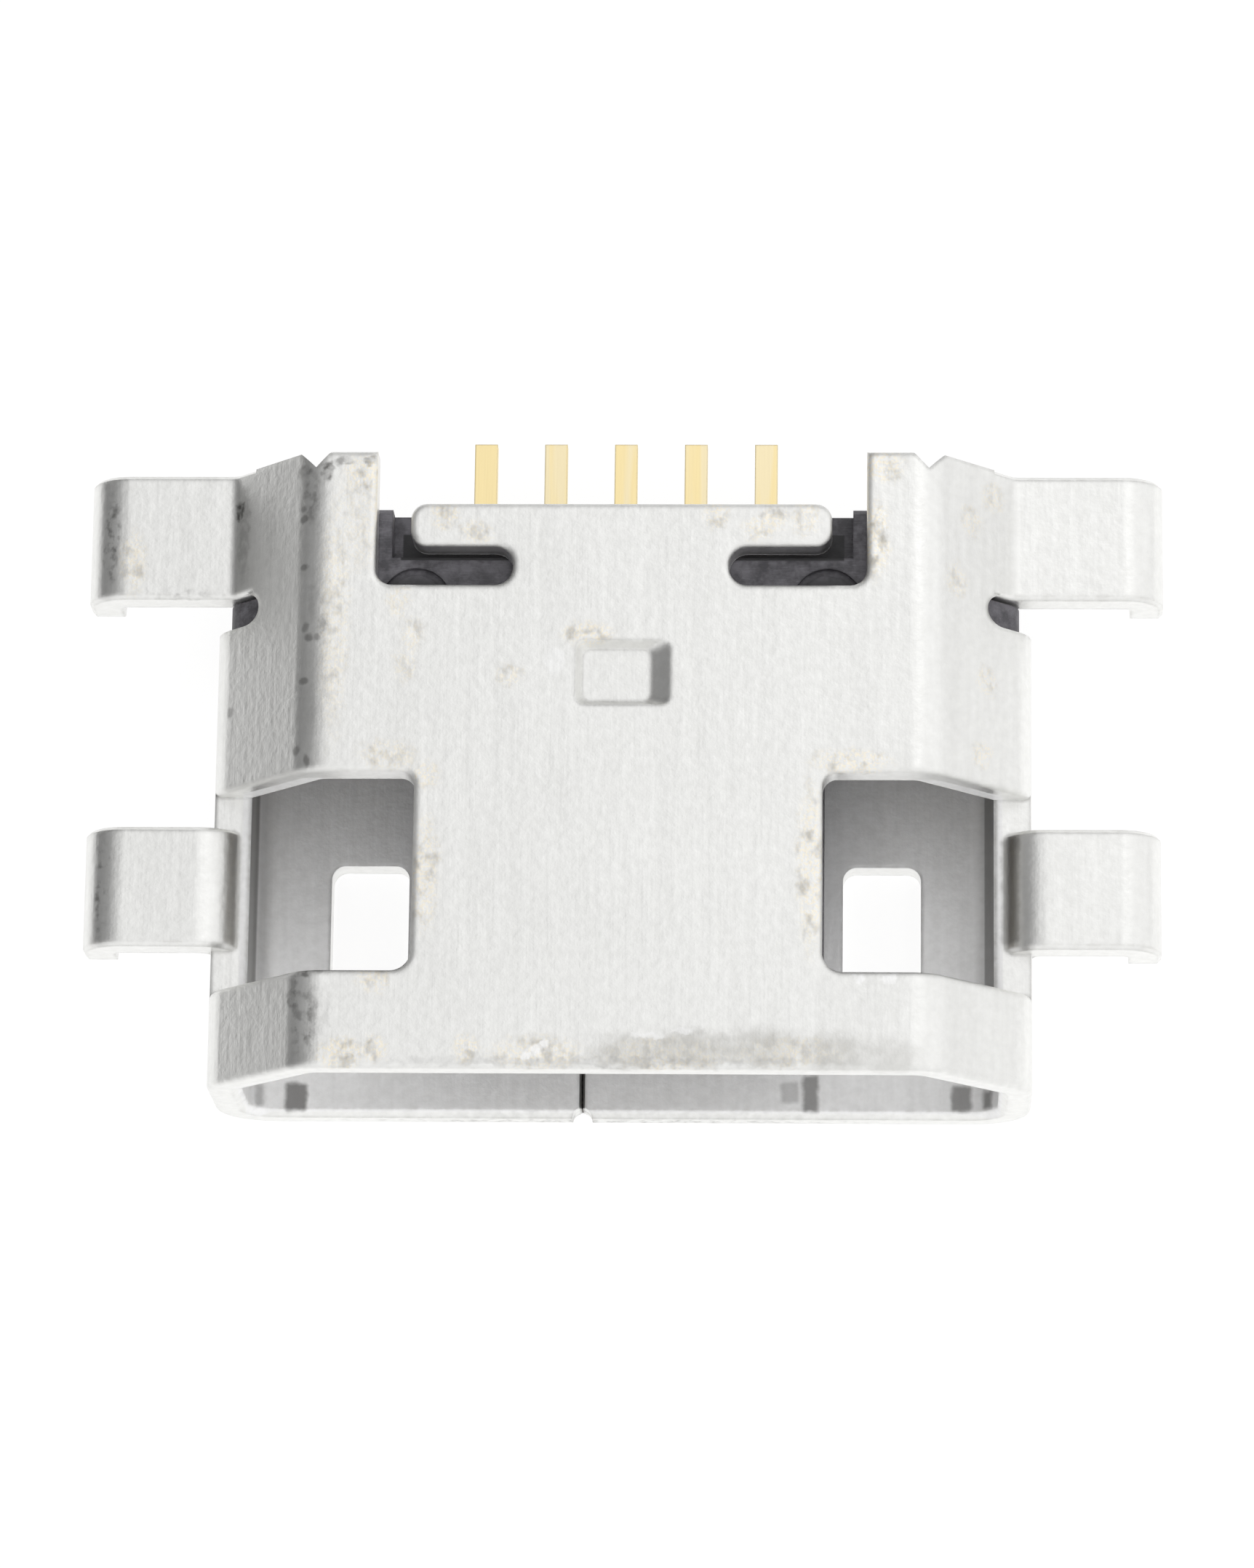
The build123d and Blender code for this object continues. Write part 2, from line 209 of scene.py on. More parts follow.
def addTable():
    # opal acrylic over a lamp: white from every side, with only a faint shadow under the part
    material, tree = newMaterial("opal_acrylic_light_table")
    place = placeInMillimetres(tree)
    cloud = grainPattern(tree, place, studio["tableCloud"])
    rough = addNode(tree, "ShaderNodeMapRange", {"Value": cloud, **studio["tableRoughness"]})
    fromLamp = addNode(tree, "ShaderNodeVectorMath", {0: place, 1: studio["lampMiddle"]},
                       out="Value", operation="DISTANCE")
    glow = addNode(tree, "ShaderNodeMapRange",
                   {"Value": fromLamp, "From Min": studio["lampRadius"],
                    "From Max": studio["lampReach"], "To Min": studio["tableGlow"],
                    "To Max": studio["farGlow"]}, interpolation_type="SMOOTHSTEP")
    shader = addNode(tree, "ShaderNodeBsdfPrincipled", {
        "Base Color": hexColour(studio["table"]),
        "Roughness": rough,
        "Specular IOR Level": studio["tableShine"],
        "Emission Color": hexColour("#FFFFFF"),
        "Emission Strength": glow,
    })
    addNode(tree, "ShaderNodeOutputMaterial", {"Surface": shader})
    shape = bmesh.new()
    bmesh.ops.create_grid(shape, x_segments=1, y_segments=1, size=studio["tableSize"] / 2)
    mesh = bpy.data.meshes.new("lightTable")
    shape.to_mesh(mesh)
    shape.free()
    table = bpy.data.objects.new("lightTable", mesh)
    table.location.z = studio["tableHeight"]
    mesh.materials.append(material)
    bpy.context.scene.collection.objects.link(table)


def addWorld():
    # a white tent that is open on the left and half open at the rear
    world = bpy.data.worlds.new("studioTent")
    world.use_nodes = True
    tree = world.node_tree
    tree.nodes.clear()
    way = addNode(tree, "ShaderNodeTexCoord", out="Generated")
    toLeft, toRear, height = (
        addNode(tree, "ShaderNodeVectorMath", {0: way, 1: towards}, out="Value",
                operation="DOT_PRODUCT")
        for towards in (studio["openWay"], (0, 1, 0), (0, 0, 1)))
    openSide = addNode(tree, "ShaderNodeMapRange", {"Value": toLeft, **studio["openShare"]},
                       interpolation_type="SMOOTHSTEP")
    shade = addNode(tree, "ShaderNodeMapRange",
                    {"Value": height, "From Max": studio["leftRise"],
                     "To Min": studio["leftHorizon"], "To Max": studio["leftShade"]})
    left = addNode(tree, "ShaderNodeMix", {"Factor": openSide, underValue: studio["topLight"],
                                           overValue: shade})
    rear = addNode(tree, "ShaderNodeMapRange", {"Value": toRear, **studio["rearShade"]},
                   interpolation_type="SMOOTHSTEP")
    tent = addNode(tree, "ShaderNodeMath", {0: left, 1: rear}, operation="MULTIPLY")
    glow = addNode(tree, "ShaderNodeBackground", {"Color": tent, "Strength": 1.0})
    addNode(tree, "ShaderNodeOutputWorld", {"Surface": glow})
    bpy.context.scene.world = world


def addSoftbox():
    data = bpy.data.lights.new("rearSoftbox", "AREA")
    data.shape = "SQUARE"
    data.size = studio["softboxSize"]
    data.energy = studio["softboxPower"]
    made = bpy.data.objects.new("rearSoftbox", data)
    made.location = studio["softboxPlace"]
    made.rotation_euler = Vector(studio["softboxPlace"]).to_track_quat("Z", "Y").to_euler()
    bpy.context.scene.collection.objects.link(made)


addTable()
addWorld()
addSoftbox()
bpy.context.scene.view_settings.view_transform = "Standard"
bpy.context.scene.cycles.glossy_bounces = studio["glossyBounces"]
print("table and lights placed")


# Shell: nickel-plated steel strip, rolled, stamped and folded

shell = {
    "colour": "#F7F7F5",
    # painted light: the inner faces get a whiter copy of the plating, which brightens them
    "inside": "#FFFFFF",
    "tarnish": "#9A9894",
    # one dark colour for tool rubs, flecks and nicks, and for painted shade in the seam, inner
    # corners and bends
    "rubAndShade": "#6A6866",
    "film": "#FFF4DC",
    "smudge": "#BDBAB3",
    "band": "#C9C8C4",
    "polishAndSheen": "#FFFFFF",
    "insideRoughness": 0.30,              # added where the rolls and tools leave it duller
    "edgeRadius": 0.06,                   # how far punched and folded edges are rounded, mm
    # the hollow: a box, by its middle, half sizes and fade in mm, less two sloping corners
    "hollow": ((0.0, -0.2, 1.225), (3.47, 2.85, 0.94), 0.02),
    "cornerReach": 5.05,                  # the corners start where across plus up is this, mm
    # sizes of the patterns along X, Y and Z, mm
    "rollingLine": (0.035, 0.9, 0.035),   # real lines are near 0.01 wide and wouldn't show
    "streak": (0.10, 1.6, 0.10),
    "mottle": (0.085, 0.085, 0.085),
    "cloud": (1.3, 1.3, 1.3),
    "blot": (0.10, 0.13, 0.10),
    "fleck": (0.08, 0.09, 0.08),
    "dot": (0.02, 0.02, 0.02),
    # how far noise pushes the outlines of the marks, and the size of that noise, mm
    "ragged": 0.16,
    "uneven": 0.05,
    "outlineNoise": 0.10,
    # what the values of the patterns become: a share of an effect, or a roughness
    "dulled": {"From Min": 0.35, "From Max": 0.75, "To Min": 0.10, "To Max": 0.0},
    "streaked": {"From Min": 0.35, "From Max": 0.7, "To Min": 0.07, "To Max": 0.0},
    "nearEdge": {"From Min": 0.05, "From Max": 0.3, "To Max": 0.5},
    "blotted": {"From Min": 0.42, "From Max": 0.62},
    "dotted": {"From Min": 0.46, "From Max": 0.62, "To Max": 0.75},
    "patchy": {"From Min": 0.48, "From Max": 0.72},
    "broken": {"From Min": 0.25, "From Max": 0.55, "To Min": 0.5},
    "rubGrain": {"From Min": 0.38, "From Max": 0.56, "To Min": 0.4},
    "fleckGrain": {"From Min": 0.46, "From Max": 0.66},
    "blur": {"From Min": 0.3, "From Max": 0.7, "To Min": 0.31, "To Max": 0.37},
    # fine relief of the strip
    "streakRelief": {"Strength": 0.28, "Distance": 0.006 * mm},
    "lineRelief": {"Strength": 0.16, "Distance": 0.004 * mm},
    "pebbleRelief": {"Strength": 0.36, "Distance": 0.010 * mm},
    # how far each kind of mark fades out, mm
    "fades": {
        "rubsAndShade": 0.06,
        "nicks": 0.035,
        "lines": 0.02,
        "bendShadeAndFloorPatches": 0.06,
        "film": 0.14,
        "bands": 0.22,
        "flecked": 0.06,
        "polishedAndSheen": 0.05,
    },
    # Marks as read off. Lines and the bend and floor marks are boxes: their middle and their half
    # sizes in millimetres, then their strength. The others are ovals: middle x, y, z, half width,
    # half length and strength.
    "wear": {
        # grey-black rubs of the folding and lancing tools, with painted shade where the left rear
        # leg bends out and along the narrow wall's front edge
        "rubsAndShade": [
            (-2.83, 2.19, 2.44, 0.01, 0.22, 0.20),
            (-2.80, 1.33, 2.45, 0.01, 0.24, 0.16),
            (-2.77, 0.27, 2.45, 0.01, 0.26, 0.10),
            (-2.70, 1.06, 2.45, 0.01, 0.06, 0.35),
            # painted shade of the bend where the left rear leg bends out
            (-3.55, 2.34, 1.72, 0.03, 0.09, 0.90),
            (-3.51, 2.08, 1.76, 0.07, 0.54, 0.30),
            (-3.25, 2.10, 2.02, 0.12, 0.50, 0.12),
            (-2.92, 2.53, 2.36, 0.07, 0.03, 0.45),
            (-2.69, 2.51, 2.45, 0.03, 0.05, 0.85),
            (-2.76, -2.18, 2.42, 0.15, 0.01, 0.60),
            (-2.91, -2.37, 2.37, 0.01, 0.16, 0.45),
            (-2.72, -2.62, 2.45, 0.01, 0.34, 0.40),
            (-2.62, -2.63, 2.45, 0.04, 0.36, 0.15),
            (-2.55, 2.61, 2.45, 0.07, 0.005, 0.60),
            (-2.30, 2.61, 2.45, 0.03, 0.005, 0.60),
            # painted shade: a thin grey line along the narrow wall's front edge, where it rolls
            # down
            (0.00, -3.00, 2.45, 2.65, 0.005, 0.22),
            (0.00, -3.03, 0.08, 3.40, 0.02, 0.14),
            (0.00, -3.03, 0.22, 3.40, 0.02, 0.14),
        ],
        # small dark nicks along the left crease, and one at the foot of the slope
        "nicks": [
            (-2.91, 2.07, 2.37, 0.03, 0.02, 0.50),
            (-2.91, 2.17, 2.37, 0.01, 0.01, 0.43),
            (-2.90, 1.61, 2.38, 0.04, 0.01, 0.50),
            (-2.87, 1.04, 2.41, 0.02, 0.04, 0.43),
            (-2.84, 0.94, 2.42, 0.03, 0.02, 0.54),
            (-2.76, 0.94, 2.45, 0.01, 0.02, 0.43),
            (-2.88, 0.53, 2.40, 0.04, 0.01, 0.50),
            (-2.92, -0.11, 2.35, 0.02, 0.03, 0.50),
            (-2.83, -0.22, 2.43, 0.01, 0.05, 0.50),
            (-3.61, 0.43, 1.67, 0.01, 0.03, 0.43),
        ],
        # straight dark lines, all painted shade: in the seam's groove, and in the inner corners at
        # the foot of both walls by the windows
        "lines": [
            ((-0.38, -1.51, 0.15), (0.015, 1.45, 0.35), 0.80),
            ((-3.47, -1.00, 0.75), (0.035, 1.25, 0.35), 0.60),
            ((3.39, -1.00, 0.55), (0.045, 1.25, 0.45), 0.50),
        ],
        # dark strips where the front legs bend out, painted shade of those bends, and dark patches
        # on the mouth's floor
        "bendShadeAndFloorPatches": [
            ((-3.55, -1.19, 1.56), (0.04, 0.46, 0.12), 0.15),
            ((3.55, -1.19, 1.56), (0.05, 0.46, 0.12), 0.42),
            ((-3.03, -2.88, 0.30), (0.07, 0.10, 0.04), 0.75),
            ((-3.41, -2.88, 0.32), (0.05, 0.07, 0.04), 0.35),
            ((1.54, -2.82, 0.30), (0.05, 0.07, 0.04), 0.30),
            ((1.73, -2.83, 0.30), (0.04, 0.14, 0.04), 0.65),
            ((3.12, -2.87, 0.30), (0.06, 0.09, 0.04), 0.65),
            ((3.38, -2.89, 0.33), (0.03, 0.05, 0.04), 0.60),
        ],
        # soldering film, pale yellow between soft grey smudges
        "film": [
            (-2.60, 1.14, 2.45, 0.04, 1.30, 0.55),
            (-2.40, 2.08, 2.45, 0.13, 0.55, 0.40),
            (-2.36, 2.48, 2.45, 0.08, 0.10, 0.90),
            (-1.61, 2.09, 2.45, 0.05, 0.03, 0.80),
            (-1.31, 1.93, 2.45, 0.06, 0.01, 0.70),
            (0.86, 2.08, 2.45, 0.03, 0.02, 0.75),
            (1.26, 1.97, 2.45, 0.05, 0.02, 0.75),
            (1.39, 2.06, 2.45, 0.03, 0.02, 0.75),
            (1.67, 2.07, 2.45, 0.03, 0.09, 0.60),
            (-1.00, 0.58, 2.45, 0.03, 0.01, 0.60),
            (-2.02, 1.27, 2.45, 0.005, 0.08, 0.55),
            (-1.89, 0.95, 2.45, 0.005, 0.09, 0.55),
            (-1.95, 0.67, 2.45, 0.005, 0.06, 0.50),
            (-2.08, -0.17, 2.45, 0.22, 0.04, 0.60),
            (-1.73, -0.36, 2.45, 0.02, 0.02, 0.80),
            (-1.72, -1.28, 2.45, 0.02, 0.55, 0.75),
            (-2.45, -2.93, 2.45, 0.15, 0.05, 0.95),
            (-2.14, -2.89, 2.45, 0.01, 0.03, 0.80),
            (-1.33, -2.88, 2.45, 0.01, 0.03, 0.85),
            (-0.70, -2.92, 2.45, 0.40, 0.07, 0.75),
            (0.45, -2.92, 2.45, 0.60, 0.05, 1.00),
            (-2.17, -2.25, 2.45, 0.06, 0.03, 0.70),
            (2.32, 1.88, 2.45, 0.02, 0.34, 0.90),
            (2.38, 2.56, 2.45, 0.12, 0.06, 0.85),
            (2.10, -0.22, 2.45, 0.32, 0.01, 0.80),
            (1.74, -1.20, 2.45, 0.02, 0.85, 0.80),
            (1.55, -2.90, 2.45, 0.50, 0.04, 0.80),
            (3.19, 2.15, 2.09, 0.05, 0.06, 0.50),
            (3.05, 1.55, 2.22, 0.07, 0.07, 0.50),
            (3.39, 2.43, 1.88, 0.09, 0.05, 0.50),
            (3.34, 0.67, 1.94, 0.03, 0.05, 0.55),
            (3.29, -0.03, 1.99, 0.03, 0.02, 0.55),
            (-0.30, 0.98, 2.45, 0.16, 0.005, 0.85),
            (-4.54, 1.88, 1.67, 0.02, 0.25, 0.70),
        ],
        # grey bands along the narrow wall's front edge
        "bands": [
            (0.10, -2.91, 2.45, 0.20, 0.01, 0.70),
            (0.70, -2.86, 2.45, 0.35, 0.01, 0.80),
            (1.30, -2.86, 2.45, 0.35, 0.02, 0.65),
            (1.95, -2.90, 2.45, 0.30, 0.02, 0.60),
            (2.45, -2.95, 2.45, 0.16, 0.01, 0.45),
        ],
        # bends and cut faces, mottled with dark flecks
        "flecked": [
            (-4.74, 2.10, 1.62, 0.04, 0.56, 0.65),
            (-4.74, -1.20, 1.62, 0.04, 0.54, 0.60),
            (-2.82, -2.62, 2.41, 0.09, 0.40, 0.38),
            (-2.85, 2.30, 2.40, 0.08, 0.30, 0.30),
            (-4.05, 1.56, 1.67, 0.50, 0.01, 0.25),
            (0.00, -3.02, 0.12, 3.30, 0.02, 0.40),
            (-3.40, -2.60, 1.90, 0.25, 0.40, 0.14),
        ],
        # bright places: rubbed bright beside the bands and by the right window, and a painted
        # reflection beside the dent where the sheet bulges round it
        "polishedAndSheen": [
            (0.30, -2.75, 2.45, 0.14, 0.001, 0.5),
            (0.62, -2.72, 2.45, 0.12, 0.001, 0.5),
            (-0.63, -2.84, 2.45, 0.01, 0.01, 0.8),
            (-0.70, -2.89, 2.45, 0.01, 0.01, 0.8),
            (-0.78, -2.95, 2.45, 0.01, 0.01, 0.8),
            (2.18, -2.22, 2.45, 0.02, 0.02, 0.8),
            (2.45, -2.23, 2.45, 0.05, 0.02, 0.8),
            # painted reflection of the sheet's soft bulge left of the dent
            (-0.58, 0.70, 2.45, 0.08, 0.13, 0.4),
        ],
    },
}


def insideOfShell(tree, place):
    # 1 on the inner faces: inside the mouth's outline, with its two sloping corners
    inBox = nearBox(tree, place, *shell["hollow"])
    away = addNode(tree, "ShaderNodeVectorMath", {0: place}, operation="ABSOLUTE")
    reach = addNode(tree, "ShaderNodeVectorMath", {0: away, 1: (1, 0, 1)}, out="Value",
                    operation="DOT_PRODUCT")
    below = addNode(tree, "ShaderNodeMath", {0: reach, 1: shell["cornerReach"]},
                    operation="LESS_THAN")
    return addNode(tree, "ShaderNodeMath", {0: inBox, 1: below}, operation="MULTIPLY")


def shellMaterial():
    # Satin nickel plating: bright, softly blurred reflections, fine rolling lines along the strip,
    # pebbled where it was bent, tarnished at punched edges, with tool rubs and soldering film,
    # painted shade in the seam, inner corners and bends, a painted reflection by the dent, and
    # inner faces painted whiter to light them.
    material, tree = newMaterial("nickel_plated_steel_strip")
    add = partial(addNode, tree)
    place = placeInMillimetres(tree)
    lines = grainPattern(tree, place, shell["rollingLine"], 3.0, 0.6)
    streaks = grainPattern(tree, place, shell["streak"], 2.0, 0.6)
    mottle = grainPattern(tree, place, shell["mottle"], 3.0, 0.6)
    cloud = grainPattern(tree, place, shell["cloud"])
    blots = grainPattern(tree, place, shell["blot"])
    flecks = grainPattern(tree, place, shell["fleck"])
    dots = grainPattern(tree, place, shell["dot"], 0.0)
    rounded, edge = roundedEdges(tree, shell["edgeRadius"])
    inside = insideOfShell(tree, place)
    ragged = raggedPlace(tree, place, shell["outlineNoise"], shell["ragged"])
    uneven = raggedPlace(tree, place, shell["outlineNoise"], shell["uneven"])
    film, bands, rubsAndShade, flecked, polishedAndSheen = (
        strongest(tree, ragged, shell["wear"][kind], shell["fades"][kind])
        for kind in ("film", "bands", "rubsAndShade", "flecked", "polishedAndSheen"))
    nicks = strongest(tree, uneven, shell["wear"]["nicks"], shell["fades"]["nicks"])

    # how much of each layer shows
    dulled = add("ShaderNodeMapRange", {"Value": mottle, **shell["dulled"]})
    streaked = add("ShaderNodeMapRange", {"Value": streaks, **shell["streaked"]})
    tarnish = add("ShaderNodeMath", {0: dulled, 1: streaked}, operation="ADD", use_clamp=True)
    nearEdge = add("ShaderNodeMapRange", {"Value": edge, **shell["nearEdge"]})
    blotted = add("ShaderNodeMapRange", {"Value": blots, **shell["blotted"]})
    worn = add("ShaderNodeMath", {0: nearEdge, 1: blotted}, operation="MULTIPLY")
    dotted = add("ShaderNodeMapRange", {"Value": dots, **shell["dotted"]})
    filmed = add("ShaderNodeMath", {0: film, 1: dotted}, operation="MULTIPLY")
    patchy = add("ShaderNodeMapRange", {"Value": blots, **shell["patchy"]})
    smudged = add("ShaderNodeMath", {0: film, 1: patchy}, operation="MULTIPLY")
    broken = add("ShaderNodeMapRange", {"Value": blots, **shell["broken"]})
    banded = add("ShaderNodeMath", {0: bands, 1: broken}, operation="MULTIPLY")

    # rubs, flecks and nicks share one dark colour with the painted shade of the lines, of the bend
    # strips and of some rubs
    rubGrain = add("ShaderNodeMapRange", {"Value": flecks, **shell["rubGrain"]})
    rubbedAndShaded = add("ShaderNodeMath", {0: rubsAndShade, 1: rubGrain}, operation="MULTIPLY")
    fleckGrain = add("ShaderNodeMapRange", {"Value": flecks, **shell["fleckGrain"]})
    flecking = add("ShaderNodeMath", {0: flecked, 1: fleckGrain}, operation="MULTIPLY")
    marks = [rubbedAndShaded, flecking, nicks]
    marks += [nearBox(tree, place, middle, half, shell["fades"]["lines"], strength)
              for middle, half, strength in shell["wear"]["lines"]]
    marks += [nearBox(tree, uneven, middle, half, shell["fades"]["bendShadeAndFloorPatches"], strength)
              for middle, half, strength in shell["wear"]["bendShadeAndFloorPatches"]]
    dark = 0.0
    for mark in marks:
        dark = add("ShaderNodeMath", {0: dark, 1: mark}, operation="ADD", use_clamp=True)

    colour = hexColour(shell["colour"])
    # the first layer whitens the inner faces as painted light, and the polish layer carries a
    # painted reflection
    layers = [(inside, "inside"), (tarnish, "tarnish"), (worn, "smudge"), (filmed, "film"),
              (smudged, "smudge"), (banded, "band"), (dark, "rubAndShade"), (polishedAndSheen, "polishAndSheen")]
    for share, name in layers:
        colour = add("ShaderNodeMix", {"Factor": share, underColour: colour,
                                       overColour: hexColour(shell[name])},
                     out=mixedColour, data_type="RGBA")

    blur = add("ShaderNodeMapRange", {"Value": cloud, **shell["blur"]})
    rough = add("ShaderNodeMath", {0: inside, 1: shell["insideRoughness"], 2: blur},
                operation="MULTIPLY_ADD")
    streaky = add("ShaderNodeBump", {"Height": streaks, "Normal": rounded,
                                     **shell["streakRelief"]})
    rolled = add("ShaderNodeBump", {"Height": lines, "Normal": streaky, **shell["lineRelief"]})
    pebbled = add("ShaderNodeBump", {"Height": mottle, "Normal": rolled,
                                     **shell["pebbleRelief"]})
    shader = add("ShaderNodeBsdfPrincipled", {
        "Base Color": colour,
        "Metallic": 1.0,
        "Roughness": rough,
        "Normal": pebbled,
    })
    add("ShaderNodeOutputMaterial", {"Surface": shader})
    return material


# Insulator: black liquid crystal polymer with glass fibre, injection moulded

insulator = {
    "colour": "#343238",
    "paleFlow": "#727076",
    "paintedShade": "#18171B",
    "refraction": 1.6,
    "edgeRadius": 0.03,               # mm, as are the sizes of the patterns along X, Y and Z
    "fibre": (0.12, 0.014, 0.014),    # glass fibres; the real ones are near 0.01
    "flow": (0.16, 0.16, 0.16),
    # painted shade, each a box's middle, half sizes and fade, mm, and strength: the tab's shadow
    # on the recess behind it, and the shade of the ejector marks' pocket walls
    "recess": ((0.0, 1.92, 1.7), (2.02, 0.155, 0.5), 0.02, 1.0),
    "ejectorMark": ((1.88, 1.36, 2.1), (0.17, 0.17, 0.1), 0.12, 0.8),
    # what the values of the patterns become: a share of an effect, or a roughness
    "bloom": {"From Min": 0.38, "From Max": 0.62, "To Min": 0.1, "To Max": 0.85},
    "fibreShare": {"From Min": 0.55, "From Max": 0.75, "To Max": 0.35},
    "nearEdge": {"From Min": 0.05, "From Max": 0.3, "To Max": 0.3},
    "blur": {"From Min": 0.3, "From Max": 0.7, "To Min": 0.47, "To Max": 0.63},
    "fibreRelief": {"Strength": 0.25, "Distance": 0.005 * mm},
}


def insulatorMaterial():
    # Matt black with a grey bloom where the melt flowed, faint pale fibres, and painted shade
    # behind the tab and over the ejector marks.
    material, tree = newMaterial("black_lcp_moulding")
    add = partial(addNode, tree)
    place = placeInMillimetres(tree)
    fibres = grainPattern(tree, place, insulator["fibre"])
    flow = grainPattern(tree, place, insulator["flow"], 4.0, 0.65)
    rounded, edge = roundedEdges(tree, insulator["edgeRadius"])
    # painted shade: the tab's shadow on the recess behind it, and the shade of the pocket walls
    # over the two ejector marks
    away = add("ShaderNodeVectorMath", {0: place}, operation="ABSOLUTE")
    recess = nearBox(tree, away, *insulator["recess"])
    ejected = nearBox(tree, away, *insulator["ejectorMark"])
    paintedShade = add("ShaderNodeMath", {0: recess, 1: ejected}, operation="MAXIMUM")
    pale = add("ShaderNodeMapRange", {"Value": flow, **insulator["bloom"]})
    fibreShare = add("ShaderNodeMapRange", {"Value": fibres, **insulator["fibreShare"]})
    nearEdge = add("ShaderNodeMapRange", {"Value": edge, **insulator["nearEdge"]})
    for cause in (fibreShare, nearEdge):
        pale = add("ShaderNodeMath", {0: pale, 1: cause}, operation="ADD", use_clamp=True)
    colour = hexColour(insulator["colour"])
    for share, name in ((pale, "paleFlow"), (paintedShade, "paintedShade")):
        colour = add("ShaderNodeMix", {"Factor": share, underColour: colour,
                                       overColour: hexColour(insulator[name])},
                     out=mixedColour, data_type="RGBA")
    rough = add("ShaderNodeMapRange", {"Value": flow, **insulator["blur"]})
    relief = add("ShaderNodeBump", {"Height": fibres, "Normal": rounded,
                                    **insulator["fibreRelief"]})
    shader = add("ShaderNodeBsdfPrincipled", {
        "Base Color": colour,
        "Roughness": rough,
        "IOR": insulator["refraction"],
        "Normal": relief,
    })
    add("ShaderNodeOutputMaterial", {"Surface": shader})
    return material


# Contacts: copper alloy strip with thin gold plating

contacts = {
    "colour": "#FFEBB4",
    "streak": "#FFF3D2",
    # painted shade of the narrow side faces along the cut edges
    "edge": "#A79C86",
    "edgeRadius": 0.02,                  # mm, as are the sizes of the patterns along X, Y and Z
    "drawingLine": (0.02, 0.6, 0.02),
    "paleStreak": (0.10, 2.0, 0.10),
    # what the values of the patterns become: a share of an effect, or a roughness
    "streaked": {"From Min": 0.48, "From Max": 0.62, "To Max": 0.6},
    "nearEdge": {"From Min": 0.05, "From Max": 0.3, "To Max": 0.6},
    "blur": {"From Min": 0.3, "From Max": 0.7, "To Min": 0.32, "To Max": 0.40},
    "lineRelief": {"Strength": 0.20, "Distance": 0.003 * mm},
}


def contactMaterial():
    # Flash gold over nickel: pale yellow and satin, a paler streak where the strip was drawn,
    # and grey along the cut edges as painted shade of their narrow side faces.
    material, tree = newMaterial("gold_plated_copper_alloy")
    add = partial(addNode, tree)
    place = placeInMillimetres(tree)
    lines = grainPattern(tree, place, contacts["drawingLine"])
    streaks = grainPattern(tree, place, contacts["paleStreak"], 1.0)
    rounded, edge = roundedEdges(tree, contacts["edgeRadius"])
    streaked = add("ShaderNodeMapRange", {"Value": streaks, **contacts["streaked"]})
    nearEdge = add("ShaderNodeMapRange", {"Value": edge, **contacts["nearEdge"]})
    colour = hexColour(contacts["colour"])
    for share, name in ((streaked, "streak"), (nearEdge, "edge")):
        colour = add("ShaderNodeMix", {"Factor": share, underColour: colour,
                                       overColour: hexColour(contacts[name])},
                     out=mixedColour, data_type="RGBA")
    rough = add("ShaderNodeMapRange", {"Value": streaks, **contacts["blur"]})
    relief = add("ShaderNodeBump", {"Height": lines, "Normal": rounded,
                                    **contacts["lineRelief"]})
    shader = add("ShaderNodeBsdfPrincipled", {
        "Base Color": colour,
        "Metallic": 1.0,
        "Roughness": rough,
        "Normal": relief,
    })
    add("ShaderNodeOutputMaterial", {"Surface": shader})
    return material


# Materials on the nodes

finishes = {"shell": shellMaterial(), "insulator": insulatorMaterial()}
gold = contactMaterial()
for name, node in nodes.items():
    node.data.materials.clear()
    node.data.materials.append(finishes.get(name, gold))
print("materials given:", sorted(m.name for m in bpy.data.materials))


# Seam shade: the two cut edges of the strip touch along the seam; a thin dark ribbon closes the
# narrow gap the part's model leaves there, its dark grey painted shade of the closed seam

shadeRibbon = {
    # dark grey: painted shade of the closed seam
    "colour": "#4B4845",
    "pale": "#8A867F",
    "grain": (0.05, 0.05, 0.05),
    "paled": {"From Min": 0.45, "From Max": 0.7},
    "blur": {"From Min": 0.3, "From Max": 0.7, "To Min": 0.50, "To Max": 0.65},
    "relief": {"Strength": 0.4, "Distance": 0.004 * mm},
    # the ribbon's sizes, and the places of its corners in the seam, mm
    "halfWidth": 0.005,
    "bottom": 0.06,
    "top": 0.24,
    "ridge": 0.01,
    "waviness": 0.012,
    "waveLength": 0.37,
    "step": 0.08,
    "route": [(-0.38, -2.97), (-0.38, -0.059), (0.32, -0.199), (0.32, 0.681), (-0.38, 0.541),
              (-0.38, 1.84)],
}


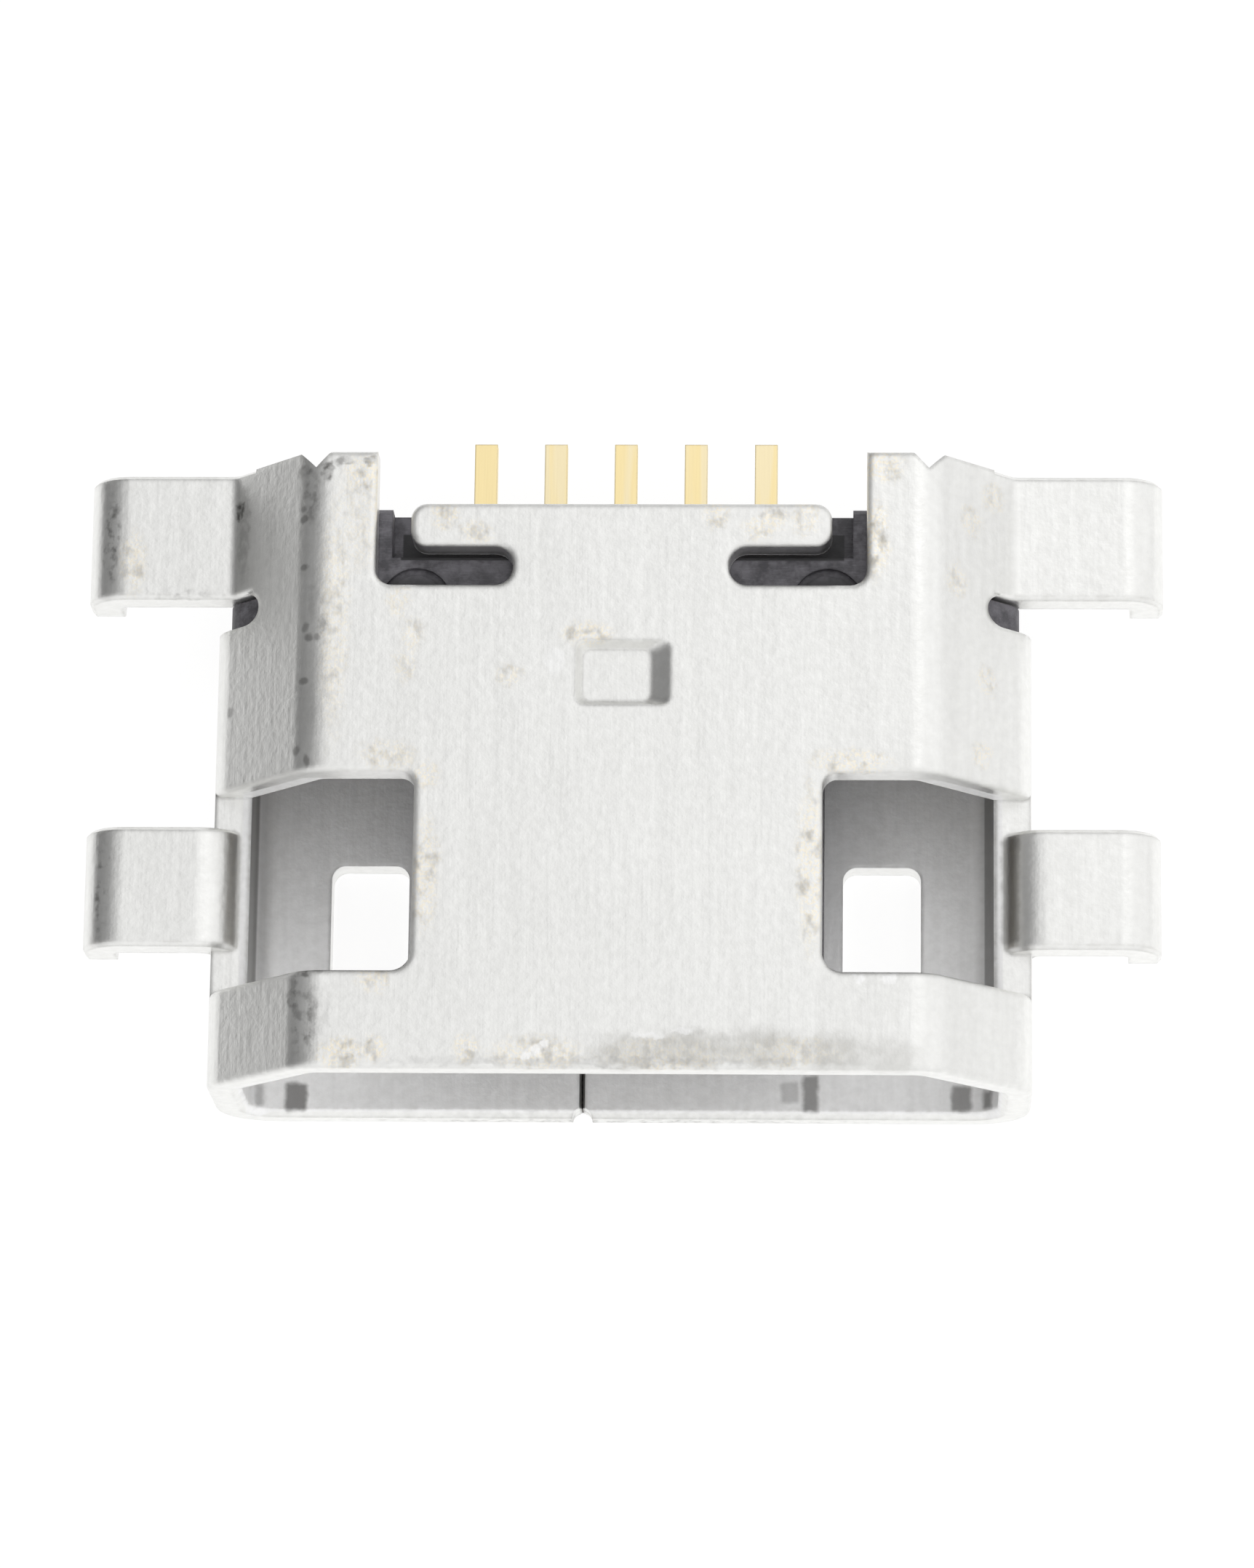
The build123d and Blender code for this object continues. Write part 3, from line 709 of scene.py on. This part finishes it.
def shadeRibbonMaterial():
    # Painted shade of the closed seam: dull dark grey with paler grains.
    material, tree = newMaterial("seam_shade_ribbon")
    add = partial(addNode, tree)
    place = placeInMillimetres(tree)
    grain = grainPattern(tree, place, shadeRibbon["grain"], 3.0, 0.6)
    paled = add("ShaderNodeMapRange", {"Value": grain, **shadeRibbon["paled"]})
    colour = add("ShaderNodeMix", {"Factor": paled, underColour: hexColour(shadeRibbon["colour"]),
                                   overColour: hexColour(shadeRibbon["pale"])},
                 out=mixedColour, data_type="RGBA")
    rough = add("ShaderNodeMapRange", {"Value": grain, **shadeRibbon["blur"]})
    relief = add("ShaderNodeBump", {"Height": grain, **shadeRibbon["relief"]})
    shader = add("ShaderNodeBsdfPrincipled", {
        "Base Color": colour,
        "Metallic": 1.0,
        "Roughness": rough,
        "Normal": relief,
    })
    add("ShaderNodeOutputMaterial", {"Surface": shader})
    return material


def addShadeRibbon():
    # a thin wavy ribbon that follows the seam's dovetail between its two cut edges, dark as
    # painted shade
    corners = [Vector(spot) for spot in shadeRibbon["route"]]
    stations = []
    for start, end in zip(corners, corners[1:]):
        count = max(2, round((end - start).length / shadeRibbon["step"]))
        stations += [start.lerp(end, i / count) for i in range(count)]
    stations.append(corners[-1])
    shape = bmesh.new()
    rings = []
    for i, spot in enumerate(stations):
        ahead = (stations[min(i + 1, len(stations) - 1)] - spot).normalized()
        behind = (spot - stations[max(i - 1, 0)]).normalized()
        along = (ahead + behind).normalized()
        side = Vector((-along.y, along.x)) * shadeRibbon["halfWidth"]
        wave = shadeRibbon["waviness"] * sin(i * shadeRibbon["step"] * 2 * pi / shadeRibbon["waveLength"])
        crest = shadeRibbon["top"] + wave
        shoulder = crest - shadeRibbon["ridge"]
        outline = [(-1, shadeRibbon["bottom"]), (1, shadeRibbon["bottom"]), (1, shoulder), (0, crest),
                   (-1, shoulder)]
        rings.append([shape.verts.new((mm * (spot.x + side.x * a), mm * (spot.y + side.y * a),
                                       mm * z)) for a, z in outline])
    for one, other in zip(rings, rings[1:]):
        for j in range(len(one)):
            k = (j + 1) % len(one)
            shape.faces.new((one[j], one[k], other[k], other[j]))
    shape.faces.new(rings[0][::-1])
    shape.faces.new(rings[-1])
    bmesh.ops.recalc_face_normals(shape, faces=shape.faces)
    mesh = bpy.data.meshes.new("seamShadeRibbon")
    shape.to_mesh(mesh)
    shape.free()
    piece = bpy.data.objects.new("seamShadeRibbon", mesh)
    mesh.materials.append(shadeRibbonMaterial())
    bpy.context.scene.collection.objects.link(piece)
    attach(piece, "root")


addShadeRibbon()
print("seam burr made")
